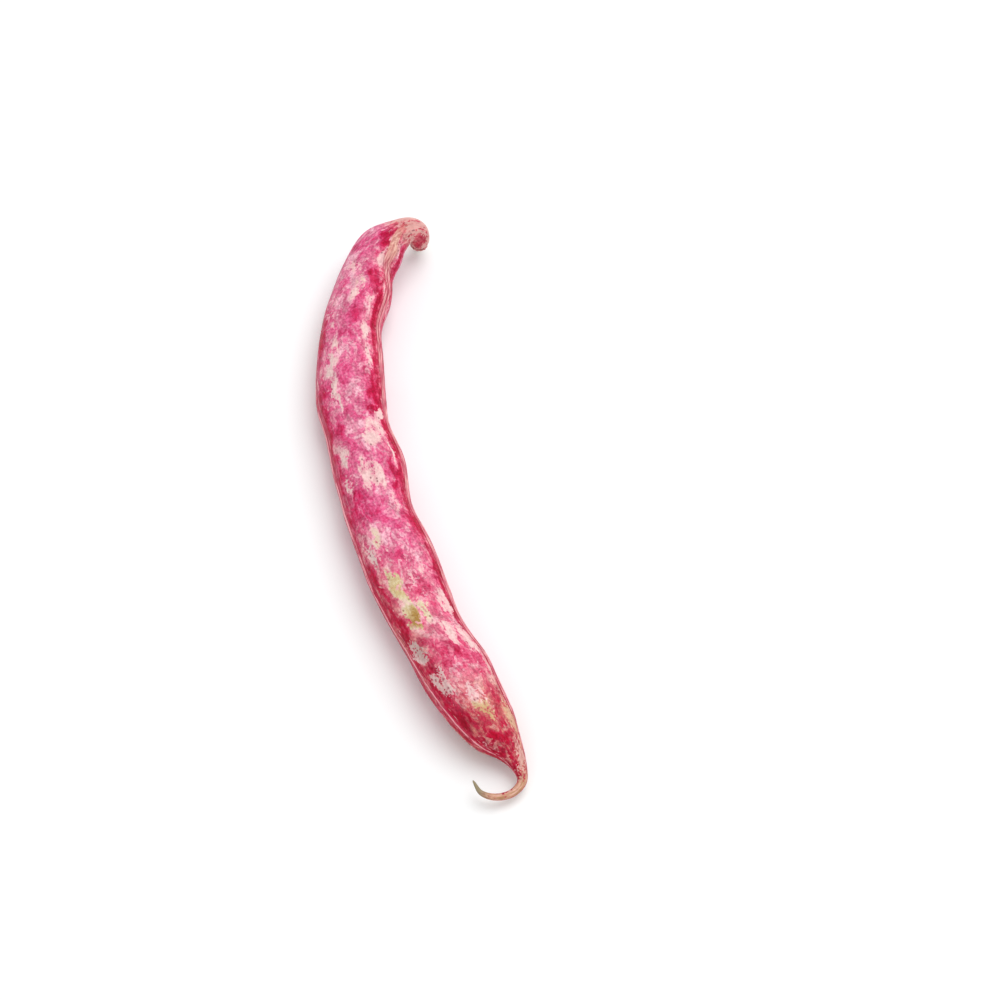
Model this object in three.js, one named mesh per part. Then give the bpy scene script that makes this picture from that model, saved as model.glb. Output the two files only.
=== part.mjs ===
// Borlotti bean pod, as picked, lying on its side. Millimetres, +Z up.
// +Y is the stalk end and -Y the beak end. The origin is on the surface that the pod lies
// on, below the middle of the whole pod's outline.
import * as THREE from "three";

// The pod's middle line from the stalk end to the tip of the beak. Each station is x, y, z,
// breadth from suture to suture, thickness through the two valves, roll in degrees, which
// turns the ventral suture upwards, and lean in degrees, which moves that suture alone on to
// the upper valve.
const STATIONS = [
  [-1.0, 70.6, 4.9, 3.1, 3.1, 30, 0],
  [-0.9, 69.6, 7.0, 4.8, 4.8, 30, 0],
  [-1.4, 69.7, 10.0, 5.2, 5.2, 30, 0],
  [-3.4, 68.9, 11.7, 5.8, 5.6, 30, 0],
  [-6.5, 67.4, 10.8, 9.0, 7.2, 30, 0],
  [-9.7, 64.9, 9.3, 13.0, 9.6, 30, 0],
  [-12.7, 59.6, 7.4, 12.4, 11.0, 30, 0],
  [-14.3, 52.5, 6.4, 14.5, 11.8, 28, 1],
  [-16.3, 43.5, 6.4, 14.2, 12.0, 24, 4],
  [-16.4, 33.5, 6.3, 15.5, 12.2, 17, 10],
  [-15.7, 23.0, 6.3, 15.9, 12.5, 11, 15],
  [-13.8, 13.0, 6.3, 14.6, 12.4, 7, 19],
  [-11.0, 3.0, 6.3, 16.4, 12.5, 3, 21],
  [-8.3, -9.4, 6.3, 15.0, 12.4, 0, 23],
  [-4.0, -20.8, 6.3, 16.3, 12.5, -2, 24],
  [-0.1, -31.0, 6.3, 15.5, 12.4, -6, 27],
  [3.9, -40.0, 6.4, 14.1, 12.2, -12, 33],
  [8.6, -48.6, 6.3, 15.2, 12.2, -18, 37],
  [12.8, -56.5, 6.2, 14.0, 11.6, -22, 38],
  [17.0, -62.8, 5.3, 11.1, 9.4, -22, 37],
  [20.5, -66.7, 4.2, 6.0, 5.4, -20, 34],
  [22.6, -70.4, 3.3, 3.0, 3.0, -10, 28],
  [23.0, -73.4, 2.6, 2.0, 2.0, 0, 20],
  [20.8, -75.9, 2.4, 1.7, 1.7, 0, 12],
  [17.4, -76.9, 2.8, 1.5, 1.5, 0, 8],
  [14.4, -76.2, 3.4, 1.15, 1.1, 0, 6],
  [12.8, -74.0, 4.3, 0.5, 0.5, 0, 4],
];
const LEVEL_STATION = 13;
const RINGS_PER_STATION = 4;
const DIRECTION_REACH = 0.7;

// Half of the pod's section: degrees round from the ventral suture, and how far the wall
// stands out there. The ventral suture is a groove between two lips, the dorsal one a ridge.
const HALF_SECTION = [
  [0, 0.05],
  [5, 0.5],
  [11, 0.3],
  [18, 0],
  [32, 0],
  [50, 0],
  [70, 0],
  [90, 0],
  [110, 0],
  [130, 0],
  [148, 0],
  [162, 0],
  [173, 0.1],
  [180, 0.35],
];
const SECTION_POWER = 2.25;
const FULL_SUTURE_BREADTH = 14;

// The seeds press the valves out. Each seed's place is counted in stations.
const SEEDS = [6.9, 9.3, 11.8, 14.2, 17.0];
const SEED_SWELL = 0.45;
const SEED_REACH = 7;

// Rounded neck end and the point of the beak.
const NECK_DOME = { rise: 0.6, ringRise: 0.4, ringScale: 0.72 };
const BEAK_POINT = 0.4;

// The calyx is a dried cup with lobes round the neck end. The heights are measured outwards
// from the pod's first station, along the neck.
const CALYX_LOBES = 5;
const CALYX_COLUMNS = 30;
const CALYX = {
  base: 1.75,
  baseRadius: 1.15,
  shoulder: 1.4,
  shoulderRadius: 1.65,
  side: 0.8,
  sideRadius: 2.1,
  rim: 0.45,
  rimRadius: 2.35,
  lobeLength: 1.0,
  lobeSpread: 0.2,
  wall: 0.42,
  innerSide: 0.35,
  innerSideRadius: 1.85,
  floor: 0.95,
  floorRadius: 1.1,
};

// The snapped stalk: x, y, z and radius.
const STALK = [
  [-1.1, 71.5, 3.05, 1.15],
  [-1.15, 72.3, 2.35, 1.0],
  [-1.35, 73.6, 2.05, 0.95],
  [-1.7, 75.3, 2.15, 0.98],
  [-2.2, 77.35, 2.35, 1.25],
];
const STALK_COLUMNS = 12;
const STALK_RINGS_PER_STATION = 2;
const STALK_DIRECTION_REACH = 0.5;
const STALK_END = 0.2;

function smoothThrough(rows) {
  const points = rows.map(([x, y, z]) => new THREE.Vector3(x, y, z));
  const curve = new THREE.CatmullRomCurve3(points, false, "catmullrom");
  return (place) => curve.getPoint(THREE.MathUtils.clamp(place / (rows.length - 1), 0, 1));
}

// Rings' frames along a line: along it, side across it and face up from it. The side is
// carried from the level station to both ends without twisting.
function frames(middleAt, stations, ringsPerStation, reach, levelStation) {
  const rings = [];
  for (let i = 0; i <= (stations - 1) * ringsPerStation; i++) {
    const place = i / ringsPerStation;
    const along = middleAt(place + reach).sub(middleAt(place - reach)).normalize();
    rings.push({ place, middle: middleAt(place), along });
  }
  const level = levelStation * ringsPerStation;
  const carry = (ring, from) => {
    ring.side = from.clone().projectOnPlane(ring.along).normalize();
    ring.face = new THREE.Vector3().crossVectors(ring.along, ring.side);
  };
  carry(rings[level], new THREE.Vector3(1, 0, 0));
  for (let i = level + 1; i < rings.length; i++) {
    carry(rings[i], rings[i - 1].side);
  }
  for (let i = level - 1; i >= 0; i--) {
    carry(rings[i], rings[i + 1].side);
  }
  return rings;
}

function pointOn(ring, side, face, along = 0) {
  return ring.middle
    .clone()
    .addScaledVector(ring.side, side)
    .addScaledVector(ring.face, face)
    .addScaledVector(ring.along, along);
}

// One closed skin over rings of points, with a single point closing each end.
function skin(firstPoint, rings, lastPoint) {
  const columns = rings[0].length;
  const points = [firstPoint, ...rings.flat(), lastPoint];
  const corner = (ring, column) => 1 + ring * columns + (column % columns);
  const end = rings.length - 1;
  const index = [];
  for (let c = 0; c < columns; c++) {
    index.push(0, corner(0, c + 1), corner(0, c));
    for (let r = 0; r < end; r++) {
      index.push(corner(r, c), corner(r, c + 1), corner(r + 1, c));
      index.push(corner(r + 1, c), corner(r, c + 1), corner(r + 1, c + 1));
    }
    index.push(points.length - 1, corner(end, c), corner(end, c + 1));
  }
  const geometry = new THREE.BufferGeometry().setFromPoints(points);
  geometry.setIndex(index);
  geometry.computeVertexNormals();
  return geometry;
}

function mesh(name, geometry, color, roughness) {
  const made = new THREE.Mesh(geometry, new THREE.MeshStandardMaterial({ color, roughness, metalness: 0 }));
  made.name = name;
  return made;
}

function podFrames() {
  const middleAt = smoothThrough(STATIONS);
  const sizeAt = smoothThrough(STATIONS.map(([, , , ...sizes]) => sizes));
  const leanAt = smoothThrough(STATIONS.map((station) => [station[6], 0, 0]));
  const seeds = SEEDS.map(middleAt);
  const rings = frames(middleAt, STATIONS.length, RINGS_PER_STATION, DIRECTION_REACH, LEVEL_STATION);
  for (const ring of rings) {
    const { x: breadth, y: thickness, z: roll } = sizeAt(ring.place);
    const near = seeds.map((seed) => Math.exp(-((ring.middle.distanceTo(seed) / SEED_REACH) ** 2)));
    ring.halfBreadth = breadth / 2;
    ring.halfThickness = thickness / 2 + SEED_SWELL * near.reduce((sum, one) => sum + one, 0);
    ring.suture = Math.min(breadth / FULL_SUTURE_BREADTH, 1);
    ring.lean = leanAt(ring.place).x;
    const turn = THREE.MathUtils.degToRad(roll);
    ring.side.applyAxisAngle(ring.along, turn);
    ring.face.applyAxisAngle(ring.along, turn);
  }
  return rings;
}

// The wall of one ring, flattened where it would pass below the surface that it rests on.
// The lean is full at the ventral suture and dies out at the dorsal one.
function podRing(ring, scale = 1, along = 0) {
  const otherHalf = HALF_SECTION.slice(1, -1).reverse().map(([degrees, lift]) => [360 - degrees, lift]);
  return [...HALF_SECTION, ...otherHalf].map(([degrees, lift]) => {
    const leaning = (ring.lean * (1 + Math.cos(THREE.MathUtils.degToRad(degrees)))) / 2;
    const angle = THREE.MathUtils.degToRad(degrees + leaning);
    const bent = (value) => Math.sign(value) * Math.abs(value) ** (2 / SECTION_POWER);
    const outwards = lift * ring.suture;
    const side = bent(Math.cos(angle)) * (ring.halfBreadth + outwards) * scale;
    const face = bent(Math.sin(angle)) * (ring.halfThickness + outwards) * scale;
    const point = pointOn(ring, side, face, along);
    point.z = Math.max(point.z, 0);
    return point;
  });
}

function makePod(rings) {
  const neck = rings[0];
  const beak = rings[rings.length - 1];
  const dome = podRing(neck, NECK_DOME.ringScale, -NECK_DOME.ringRise);
  const walls = rings.map((ring) => podRing(ring));
  const neckPoint = pointOn(neck, 0, 0, -NECK_DOME.rise);
  const beakPoint = pointOn(beak, 0, 0, BEAK_POINT);
  return mesh("pod", skin(neckPoint, [dome, ...walls], beakPoint), 0xc8607f, 0.45);
}

// A cup around the neck end: its outside from the stalk up to the lobed rim, then its inside
// back down, clear of the neck.
function makeCalyx(neck) {
  const ringOf = (radiusAt, heightAt) => {
    const points = [];
    for (let i = 0; i < CALYX_COLUMNS; i++) {
      const angle = (2 * Math.PI * i) / CALYX_COLUMNS;
      const lobe = 0.5 + 0.5 * Math.cos(CALYX_LOBES * angle);
      const radius = radiusAt(lobe);
      points.push(pointOn(neck, radius * Math.cos(angle), radius * Math.sin(angle), -heightAt(lobe)));
    }
    return points;
  };
  const rimRadius = (lobe) => CALYX.rimRadius + CALYX.lobeSpread * lobe;
  const rimHeight = (lobe) => CALYX.rim - CALYX.lobeLength * lobe;
  const rings = [
    ringOf(() => CALYX.baseRadius, () => CALYX.base),
    ringOf(() => CALYX.shoulderRadius, () => CALYX.shoulder),
    ringOf(() => CALYX.sideRadius, () => CALYX.side),
    ringOf(rimRadius, rimHeight),
    ringOf((lobe) => rimRadius(lobe) - CALYX.wall, rimHeight),
    ringOf(() => CALYX.innerSideRadius, () => CALYX.innerSide + CALYX.wall),
    ringOf(() => CALYX.floorRadius, () => CALYX.floor),
  ];
  const base = pointOn(neck, 0, 0, -CALYX.base);
  const floor = pointOn(neck, 0, 0, -CALYX.floor);
  return mesh("calyx", skin(base, rings, floor), 0x8f8052, 0.8);
}

function makeStalk() {
  const middleAt = smoothThrough(STALK);
  const radiusAt = smoothThrough(STALK.map(([, , , radius]) => [radius, 0, 0]));
  const rings = frames(middleAt, STALK.length, STALK_RINGS_PER_STATION, STALK_DIRECTION_REACH, 0);
  const walls = rings.map((ring) => {
    const points = [];
    for (let i = 0; i < STALK_COLUMNS; i++) {
      const angle = (2 * Math.PI * i) / STALK_COLUMNS;
      const radius = radiusAt(ring.place).x;
      points.push(pointOn(ring, radius * Math.cos(angle), radius * Math.sin(angle)));
    }
    return points;
  });
  const snapped = pointOn(rings[rings.length - 1], 0, 0, STALK_END);
  return mesh("stalk", skin(rings[0].middle, walls, snapped), 0x7e7a48, 0.75);
}

const rings = podFrames();
const borlottiPod = new THREE.Group();
borlottiPod.add(makePod(rings), makeCalyx(rings[0]), makeStalk());

export default borlottiPod;
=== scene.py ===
import math
import random

import bpy
import numpy as np
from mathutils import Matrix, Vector, noise


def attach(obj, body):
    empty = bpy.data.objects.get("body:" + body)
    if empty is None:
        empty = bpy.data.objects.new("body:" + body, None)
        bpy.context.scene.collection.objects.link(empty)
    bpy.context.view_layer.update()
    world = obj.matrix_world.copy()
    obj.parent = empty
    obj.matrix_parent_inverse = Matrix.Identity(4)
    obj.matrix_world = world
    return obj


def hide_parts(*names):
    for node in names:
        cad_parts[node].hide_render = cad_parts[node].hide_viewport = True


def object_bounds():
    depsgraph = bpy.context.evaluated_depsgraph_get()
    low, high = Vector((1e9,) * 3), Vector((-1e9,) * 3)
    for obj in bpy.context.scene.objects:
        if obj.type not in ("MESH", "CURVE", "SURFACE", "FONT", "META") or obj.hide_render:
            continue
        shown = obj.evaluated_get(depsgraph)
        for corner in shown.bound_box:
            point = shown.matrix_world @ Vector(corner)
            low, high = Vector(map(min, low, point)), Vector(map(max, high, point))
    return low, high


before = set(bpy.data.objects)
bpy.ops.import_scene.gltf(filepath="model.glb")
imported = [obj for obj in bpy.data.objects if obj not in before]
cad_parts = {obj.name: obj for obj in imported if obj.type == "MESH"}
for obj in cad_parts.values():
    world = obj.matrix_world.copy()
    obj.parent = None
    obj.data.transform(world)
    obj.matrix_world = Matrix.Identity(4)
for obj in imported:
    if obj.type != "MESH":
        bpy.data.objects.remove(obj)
cad_low, cad_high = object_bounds()
bpy.ops.object.select_all(action="DESELECT")

# Lengths are millimetres, as the pod was measured, and MM makes them metres. Only the table
# and the soft box are given in metres. The pod lies with its stalk end at +Y and its beak at
# -Y, on a surface at height 0.
MM = 0.001


# The camera looks down on the lying pod from the beak end, through a long lens, and so steeply
# that it sees the same side of the pod as the photograph does. The stalk end is the far one.
CAMERA_LENS = 100
CAMERA_ELEVATION = math.radians(57)
CAMERA_DISTANCE = 625 * MM
CAMERA_NEAREST = 10 * MM
CAMERA_AIM = Vector((18.4, -4.0, 6.0)) * MM

camera = bpy.data.objects.new("camera", bpy.data.cameras.new("camera"))
camera.data.lens = CAMERA_LENS
camera.data.clip_start = CAMERA_NEAREST
camera.rotation_euler = (math.pi / 2 - CAMERA_ELEVATION, 0, 0)
back_from_aim = Vector((0, -math.cos(CAMERA_ELEVATION), math.sin(CAMERA_ELEVATION)))
camera.location = CAMERA_AIM + back_from_aim * CAMERA_DISTANCE
bpy.context.collection.objects.link(camera)
bpy.context.scene.camera = camera


# The plain white table that the pod lies on, under a large soft box above, a little to the
# right, and a white room. It is only the stage. The white stays white with the Standard view.
TABLE_WIDTH = 6.0
TABLE_WHITE = "#F4F6F6"
TABLE_ROUGHNESS = 0.9
TABLE_SPECULAR = 0.1
ROOM_WHITE = "#FFFFFF"
ROOM_STRENGTH = 0.78
SOFT_BOX_PLACE = Vector((0.35, 0.25, 1.0))
SOFT_BOX_SIZE = 1.1
SOFT_BOX_POWER = 7.0


def paint(code, alpha=1.0):
    """A written screen colour as Blender's linear light."""
    parts = [int(code[i : i + 2], 16) / 255 for i in (1, 3, 5)]
    linear = [((part + 0.055) / 1.055) ** 2.4 if part > 0.04045 else part / 12.92 for part in parts]
    return (*linear, alpha)


def finish(name):
    """A new material with its shader, ready for nodes."""
    material = bpy.data.materials.new(name)
    material.use_nodes = True
    return material, material.node_tree.nodes["Principled BSDF"]


def plug(material, target, sockets):
    """Sets a node's sockets to numbers or colours, or links the outputs of other nodes to them."""
    for socket, value in sockets.items():
        if isinstance(value, bpy.types.NodeSocket):
            material.node_tree.links.new(value, target.inputs[socket])
        else:
            target.inputs[socket].default_value = value


def node(material, kind, sockets=None, **settings):
    """Adds a shader node with these sockets and settings."""
    made = material.node_tree.nodes.new("ShaderNode" + kind)
    for setting, value in settings.items():
        setattr(made, setting, value)
    plug(material, made, sockets or {})
    return made


bpy.ops.mesh.primitive_plane_add(size=TABLE_WIDTH, location=(0, 0, cad_low[2]))
table = bpy.context.object
table.name = "table"
table_white, table_shader = finish("table_white")
table_surface = {
    "Base Color": paint(TABLE_WHITE),
    "Roughness": TABLE_ROUGHNESS,
    "Specular IOR Level": TABLE_SPECULAR,
}
plug(table_white, table_shader, table_surface)
table.data.materials.append(table_white)

room = bpy.data.worlds.new("white_room")
room.use_nodes = True
room.node_tree.nodes["Background"].inputs["Color"].default_value = paint(ROOM_WHITE)
room.node_tree.nodes["Background"].inputs["Strength"].default_value = ROOM_STRENGTH
bpy.context.scene.world = room

soft_box = bpy.data.objects.new("soft_box", bpy.data.lights.new("soft_box", "AREA"))
soft_box.data.shape = "DISK"
soft_box.data.size = SOFT_BOX_SIZE
soft_box.data.energy = SOFT_BOX_POWER
soft_box.location = SOFT_BOX_PLACE
soft_box.rotation_euler = SOFT_BOX_PLACE.to_track_quat("Z", "Y").to_euler()
bpy.context.collection.objects.link(soft_box)
bpy.context.scene.view_settings.view_transform = "Standard"


# The pod is one leathery shell grown as a single piece, from the neck through the seed
# chambers to the dried style that makes the beak. It is modelled straight, with the ventral
# suture on +X and the beak to -Y, and then bent onto the line that the real one lies along.

# Middle line from the stalk end to the tip of the beak: x, y, z, breadth from suture to
# suture, thickness through the valves, roll in degrees, which turns the ventral suture up,
# and lean in degrees, which moves that suture alone on to the upper valve.
STATIONS = [
    (-1.0, 70.6, 4.9, 3.1, 3.1, 30, 0),
    (-0.9, 69.6, 7.0, 4.8, 4.8, 30, 0),
    (-1.4, 69.7, 10.0, 5.2, 5.2, 30, 0),
    (-3.4, 68.9, 11.7, 5.8, 5.6, 30, 0),
    (-6.5, 67.4, 10.8, 9.0, 7.2, 30, 0),
    (-9.7, 64.9, 9.3, 13.0, 9.6, 30, 0),
    (-12.7, 59.6, 7.4, 12.4, 11.0, 30, 0),
    (-14.3, 52.5, 6.4, 14.5, 11.8, 28, 1),
    (-16.3, 43.5, 6.4, 14.2, 12.0, 24, 4),
    (-16.4, 33.5, 6.3, 15.5, 12.2, 17, 10),
    (-15.7, 23.0, 6.3, 15.9, 12.5, 11, 15),
    (-13.8, 13.0, 6.3, 14.6, 12.4, 7, 19),
    (-11.0, 3.0, 6.3, 16.4, 12.5, 3, 21),
    (-8.3, -9.4, 6.3, 15.0, 12.4, 0, 23),
    (-4.0, -20.8, 6.3, 16.3, 12.5, -2, 24),
    (-0.1, -31.0, 6.3, 15.5, 12.4, -6, 27),
    (3.9, -40.0, 6.4, 14.1, 12.2, -12, 33),
    (8.6, -48.6, 6.3, 15.2, 12.2, -18, 37),
    (12.8, -56.5, 6.2, 14.0, 11.6, -22, 38),
    (17.0, -62.8, 5.3, 11.1, 9.4, -22, 37),
    (20.5, -66.7, 4.2, 6.0, 5.4, -20, 34),
    (22.6, -70.4, 3.3, 3.0, 3.0, -10, 28),
    (23.0, -73.4, 2.6, 2.0, 2.0, 0, 20),
    (20.8, -75.9, 2.4, 1.7, 1.7, 0, 12),
    (17.4, -76.9, 2.8, 1.5, 1.5, 0, 8),
    (14.4, -76.2, 3.4, 1.15, 1.1, 0, 6),
    (12.8, -74.0, 4.3, 0.5, 0.5, 0, 4),
]
LEVEL_STATION = 13
SAMPLES_PER_STATION = 40
DIRECTION_REACH = 0.7
SECTION_POWER = 2.25
FULL_SUTURE_BREADTH = 14

# The seeds press the valves out, each at a place counted in stations. The neck end is rounded
# off, and the beak ends in a point.
SEEDS = [6.9, 9.3, 11.8, 14.2, 17.0]
SEED_SWELL = 0.45
SEED_REACH = 7
NECK_RISE = 0.6
NECK_RING_RISE = 0.4
NECK_RING_SCALE = 0.72
BEAK_POINT = 0.4

# Near the neck the ventral suture climbs over the upper valve, and spreads into a broad strip:
# travel in millimetres, then degrees up from the ventral edge, and breadth against the rest.
SUTURE_CLIMB = [(0, 65), (9.7, 60), (11, 45), (13.6, 30), (16.5, 24), (20, 18), (23.5, 4), (27, 0)]
SUTURE_SPREAD = [(0, 2.0), (14, 2.0), (20, 1.3), (27, 0.75), (60, 0.8), (100, 1.0)]
SECTION_POINTS = 48
SUTURE_CROWDING = 0.3
RING_SPACING = 1.6
ROUNDING_LEVELS = 2


def smooth_through(rows, places):
    """Values on a smooth curve through the rows, at places counted in rows."""
    rows = np.array(rows, dtype=float)
    last = len(rows) - 1
    padded = np.vstack([2 * rows[0] - rows[1], rows, 2 * rows[-1] - rows[-2]])
    places = np.clip(places, 0, last)
    first = np.minimum(places.astype(int), last - 1)
    part = (places - first)[:, None]
    before, start, end, after = (padded[first + i] for i in range(4))
    start_slope = (end - before) / 2
    end_slope = (after - start) / 2
    cubic = 2 * (start - end) + start_slope + end_slope
    square = 3 * (end - start) - 2 * start_slope - end_slope
    return ((cubic * part + square) * part + start_slope) * part + start


def length_of(vectors):
    return np.sqrt((vectors**2).sum(axis=-1, keepdims=True))


def line_frames(rows, samples_per_row, reach, level_row):
    """Travel, values and directions at close places on a line, with its side never twisted."""
    places = np.linspace(0, len(rows) - 1, (len(rows) - 1) * samples_per_row + 1)
    values = smooth_through(rows, places)
    middle = values[:, :3]
    along = smooth_through(rows, places + reach)[:, :3] - smooth_through(rows, places - reach)[:, :3]
    along /= length_of(along)
    side = np.zeros_like(middle)
    level = level_row * samples_per_row
    carried = np.array([1.0, 0.0, 0.0])
    for i in [*range(level, len(places)), *range(level - 1, -1, -1)]:
        if i == level - 1:
            carried = side[level]
        carried = carried - along[i] * (carried @ along[i])
        carried = carried / np.linalg.norm(carried)
        side[i] = carried
    face = np.cross(along, side)
    steps = length_of(np.diff(middle, axis=0))[:, 0]
    travel = np.concatenate([[0.0], np.cumsum(steps)])
    return travel, values, along, side, face


pod_travel, pod_values, pod_along, level_side, level_face = line_frames(
    STATIONS, SAMPLES_PER_STATION, DIRECTION_REACH, LEVEL_STATION
)
POD_LENGTH = pod_travel[-1]
roll = np.radians(pod_values[:, 5:6])
leans = pod_values[:, 6]
pod_side = level_side * np.cos(roll) + level_face * np.sin(roll)
pod_face = level_face * np.cos(roll) - level_side * np.sin(roll)
pod_line = (pod_travel, pod_values[:, :3], pod_along, pod_side, pod_face)
half_breadths = pod_values[:, 3] / 2
seed_middles = smooth_through(STATIONS, np.array(SEEDS))[:, None, :3]
seed_distances = length_of(pod_values[None, :, :3] - seed_middles)[:, :, 0]
seed_swells = SEED_SWELL * np.exp(-((seed_distances / SEED_REACH) ** 2)).sum(axis=0)
half_thicknesses = pod_values[:, 4] / 2 + seed_swells


def squared(angle):
    """The point at this angle of a rounded section of size 1, a little squarer than a circle."""
    cosine = np.cos(angle)
    sine = np.sin(angle)
    power = 2 / SECTION_POWER
    return np.sign(cosine) * np.abs(cosine) ** power, np.sign(sine) * np.abs(sine) ** power


def half_breadth_at(travel):
    return np.interp(travel, pod_travel, half_breadths)


def half_thickness_at(travel):
    return np.interp(travel, pod_travel, half_thicknesses)


# The straight pod: the section starts as a circle, is squared a little, with its points
# crowded towards the ventral suture, and is extruded from the neck ring by ring, each ring
# resized to the breadth and thickness there.
def start_section(name, points, radius, place):
    """A filled circle across the straight piece, at this place along it."""
    bpy.ops.object.select_all(action="DESELECT")
    bpy.ops.mesh.primitive_circle_add(
        vertices=points,
        radius=radius * MM,
        fill_type="NGON",
        location=(0, place * MM, 0),
        rotation=(math.pi / 2, 0, 0),
    )
    piece = bpy.context.object
    piece.name = name
    bpy.ops.object.transform_apply(location=True, rotation=True, scale=True)
    return piece


def extrude_ring(place, step, across_growth, up_growth):
    """Draws the selected face on by a step, to this place along the piece, and resizes it."""
    bpy.ops.mesh.extrude_region_move(TRANSFORM_OT_translate={"value": (0, step * MM, 0)})
    bpy.ops.transform.resize(value=(across_growth, 1, up_growth), center_override=(0, place * MM, 0))


def point_end(end, reach):
    """Closes the end whose face is selected with a fan, and draws its middle out."""
    bpy.ops.mesh.poke()
    bpy.ops.mesh.select_mode(type="VERT")
    bpy.ops.object.mode_set(mode="OBJECT")
    mesh = bpy.context.object.data
    middle = min(mesh.vertices, key=lambda vertex: (vertex.co - Vector((0, end * MM, 0))).length)
    middle.co.y += reach * MM
    bpy.ops.object.mode_set(mode="EDIT")
    bpy.ops.mesh.select_all(action="DESELECT")
    bpy.ops.mesh.select_mode(type="FACE")


def close_ends(piece, section_points, last_end, first_end):
    """Closes the last end, which is selected, and the first one. Each is its place and reach."""
    point_end(*last_end)
    bpy.ops.object.mode_set(mode="OBJECT")
    for face in piece.data.polygons:
        face.select = len(face.vertices) == section_points
    bpy.ops.object.mode_set(mode="EDIT")
    point_end(*first_end)
    bpy.ops.mesh.select_all(action="SELECT")
    bpy.ops.mesh.normals_make_consistent(inside=False)
    bpy.ops.object.mode_set(mode="OBJECT")


def round_off(piece):
    """Rounds the facets of the selected piece."""
    rounding = piece.modifiers.new("rounding", "SUBSURF")
    rounding.levels = rounding.render_levels = ROUNDING_LEVELS
    bpy.ops.object.modifier_apply(modifier=rounding.name)
    bpy.ops.object.shade_smooth()


mottled_pod = start_section("mottled_pod", SECTION_POINTS, 1, NECK_RING_RISE)
for vertex in mottled_pod.data.vertices:
    angle = math.atan2(vertex.co.z, vertex.co.x)
    across_part, up_part = squared(angle - SUTURE_CROWDING * math.sin(angle))
    vertex.co.x = across_part * MM
    vertex.co.z = up_part * MM

bpy.ops.object.mode_set(mode="EDIT")
bpy.ops.mesh.select_all(action="SELECT")
across_now = half_breadth_at(0) * NECK_RING_SCALE
up_now = half_thickness_at(0) * NECK_RING_SCALE
place_now = -NECK_RING_RISE
bpy.ops.transform.resize(value=(across_now, 1, up_now), center_override=(0, 0, 0))
for ring_travel in np.linspace(0, POD_LENGTH, round(POD_LENGTH / RING_SPACING) + 1):
    across = half_breadth_at(ring_travel)
    up = half_thickness_at(ring_travel)
    extrude_ring(-ring_travel, place_now - ring_travel, across / across_now, up / up_now)
    across_now, up_now, place_now = across, up, ring_travel
beak_end = (-POD_LENGTH, -BEAK_POINT)
neck_end = (NECK_RING_RISE, NECK_RISE - NECK_RING_RISE)
close_ends(mottled_pod, SECTION_POINTS, beak_end, neck_end)
round_off(mottled_pod)


# The skin's relief, added while the pod is straight: the two lips and the groove of the
# ventral suture, the dorsal ridge, long shallow wrinkles beside the sutures and at both
# ends, and a low unevenness all over.

# Lines along the sutures: height in millimetres, degrees out from the suture's middle, and
# reach in degrees. The lips of the ventral suture are one flat-topped rib, which a groove parts.
LIPS_HEIGHT = 0.5
LIPS_REACH = 8
OUTER_STRAND = (0.08, 16, 6)
MIDDLE_GROOVE = (0.32, 0, 1.7)
SIDE_GROOVE = (0.12, 5, 1.3)
RIDGE = (0.2, 0, 4)
RIDGE_FOOT = (0.08, 0, 9)

# From the neck to past mid length, the dorsal ridge lies this many degrees up the upper valve.
# Each range named START or END is the travels over which a thing fades in or out.
DORSAL_SHIFT = 7
DORSAL_SHIFT_END = (100, 126)
SWELL_HEIGHT = 0.12
SWELL_SIZE = 8
DENT_HEIGHT = 0.05
DENT_SIZE = 2.6
WRINKLE_HEIGHT = 0.09
NUB_WRINKLES_START = (6, 12)
NECK_WRINKLES_END = (10, 24)
BEAK_WRINKLES_START = (146, 158)
NECK_LIPS_START = (8, 14)
FULL_LIPS_START = (16, 28)


def read_points(mesh, field):
    values = np.empty(len(mesh.vertices) * 3, dtype=np.float32)
    mesh.vertices.foreach_get(field, values)
    return values.reshape(-1, 3).astype(float)


def write_points(mesh, points):
    """Moves the mesh's points to these places, given in millimetres."""
    mesh.vertices.foreach_set("co", (points * MM).astype(np.float32).ravel())
    mesh.update()


def hump(distance, reach):
    """A rounded hump, 1 at its middle and about a third at its reach."""
    return np.exp(-((distance / reach) ** 2))


def step_up(value, low, high):
    """Rises smoothly from 0 at low to 1 at high."""
    part = np.clip((value - low) / (high - low), 0, 1)
    return part * part * (3 - 2 * part)


def line_along(from_middle, height, turn, reach):
    """Relief of a line that runs along the pod, this many degrees from a suture's middle."""
    return height * hump(from_middle - turn, reach)


def grain(points, seed=0.0):
    """Smooth noise from about -1 to 1 at each point."""
    return np.array([noise.noise((x + seed, y, z)) for x, y, z in points.tolist()])


straight = read_points(mottled_pod.data, "co") / MM
travel = np.clip(-straight[:, 1], 0, POD_LENGTH)
half_breadth = half_breadth_at(travel)
half_thickness = half_thickness_at(travel)
across_part = straight[:, 0] / half_breadth
up_part = straight[:, 2] / half_thickness
size_part = np.maximum(np.abs(across_part), 1e-6) ** SECTION_POWER + np.abs(up_part) ** SECTION_POWER
size_part = size_part ** (1 / SECTION_POWER)
past_ventral = np.degrees(
    np.arctan2(
        np.sign(up_part) * np.abs(up_part) ** (SECTION_POWER / 2),
        np.sign(across_part) * np.abs(across_part) ** (SECTION_POWER / 2),
    )
)
lean = np.interp(travel, pod_travel, leans) * (1 + np.cos(np.radians(past_ventral))) / 2
turned = past_ventral + lean
across_part, up_part = squared(np.radians(turned))
straight[:, 0] = across_part * size_part * half_breadth
straight[:, 2] = up_part * size_part * half_thickness
write_points(mottled_pod.data, straight)
outward = read_points(mottled_pod.data, "normal")

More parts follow.
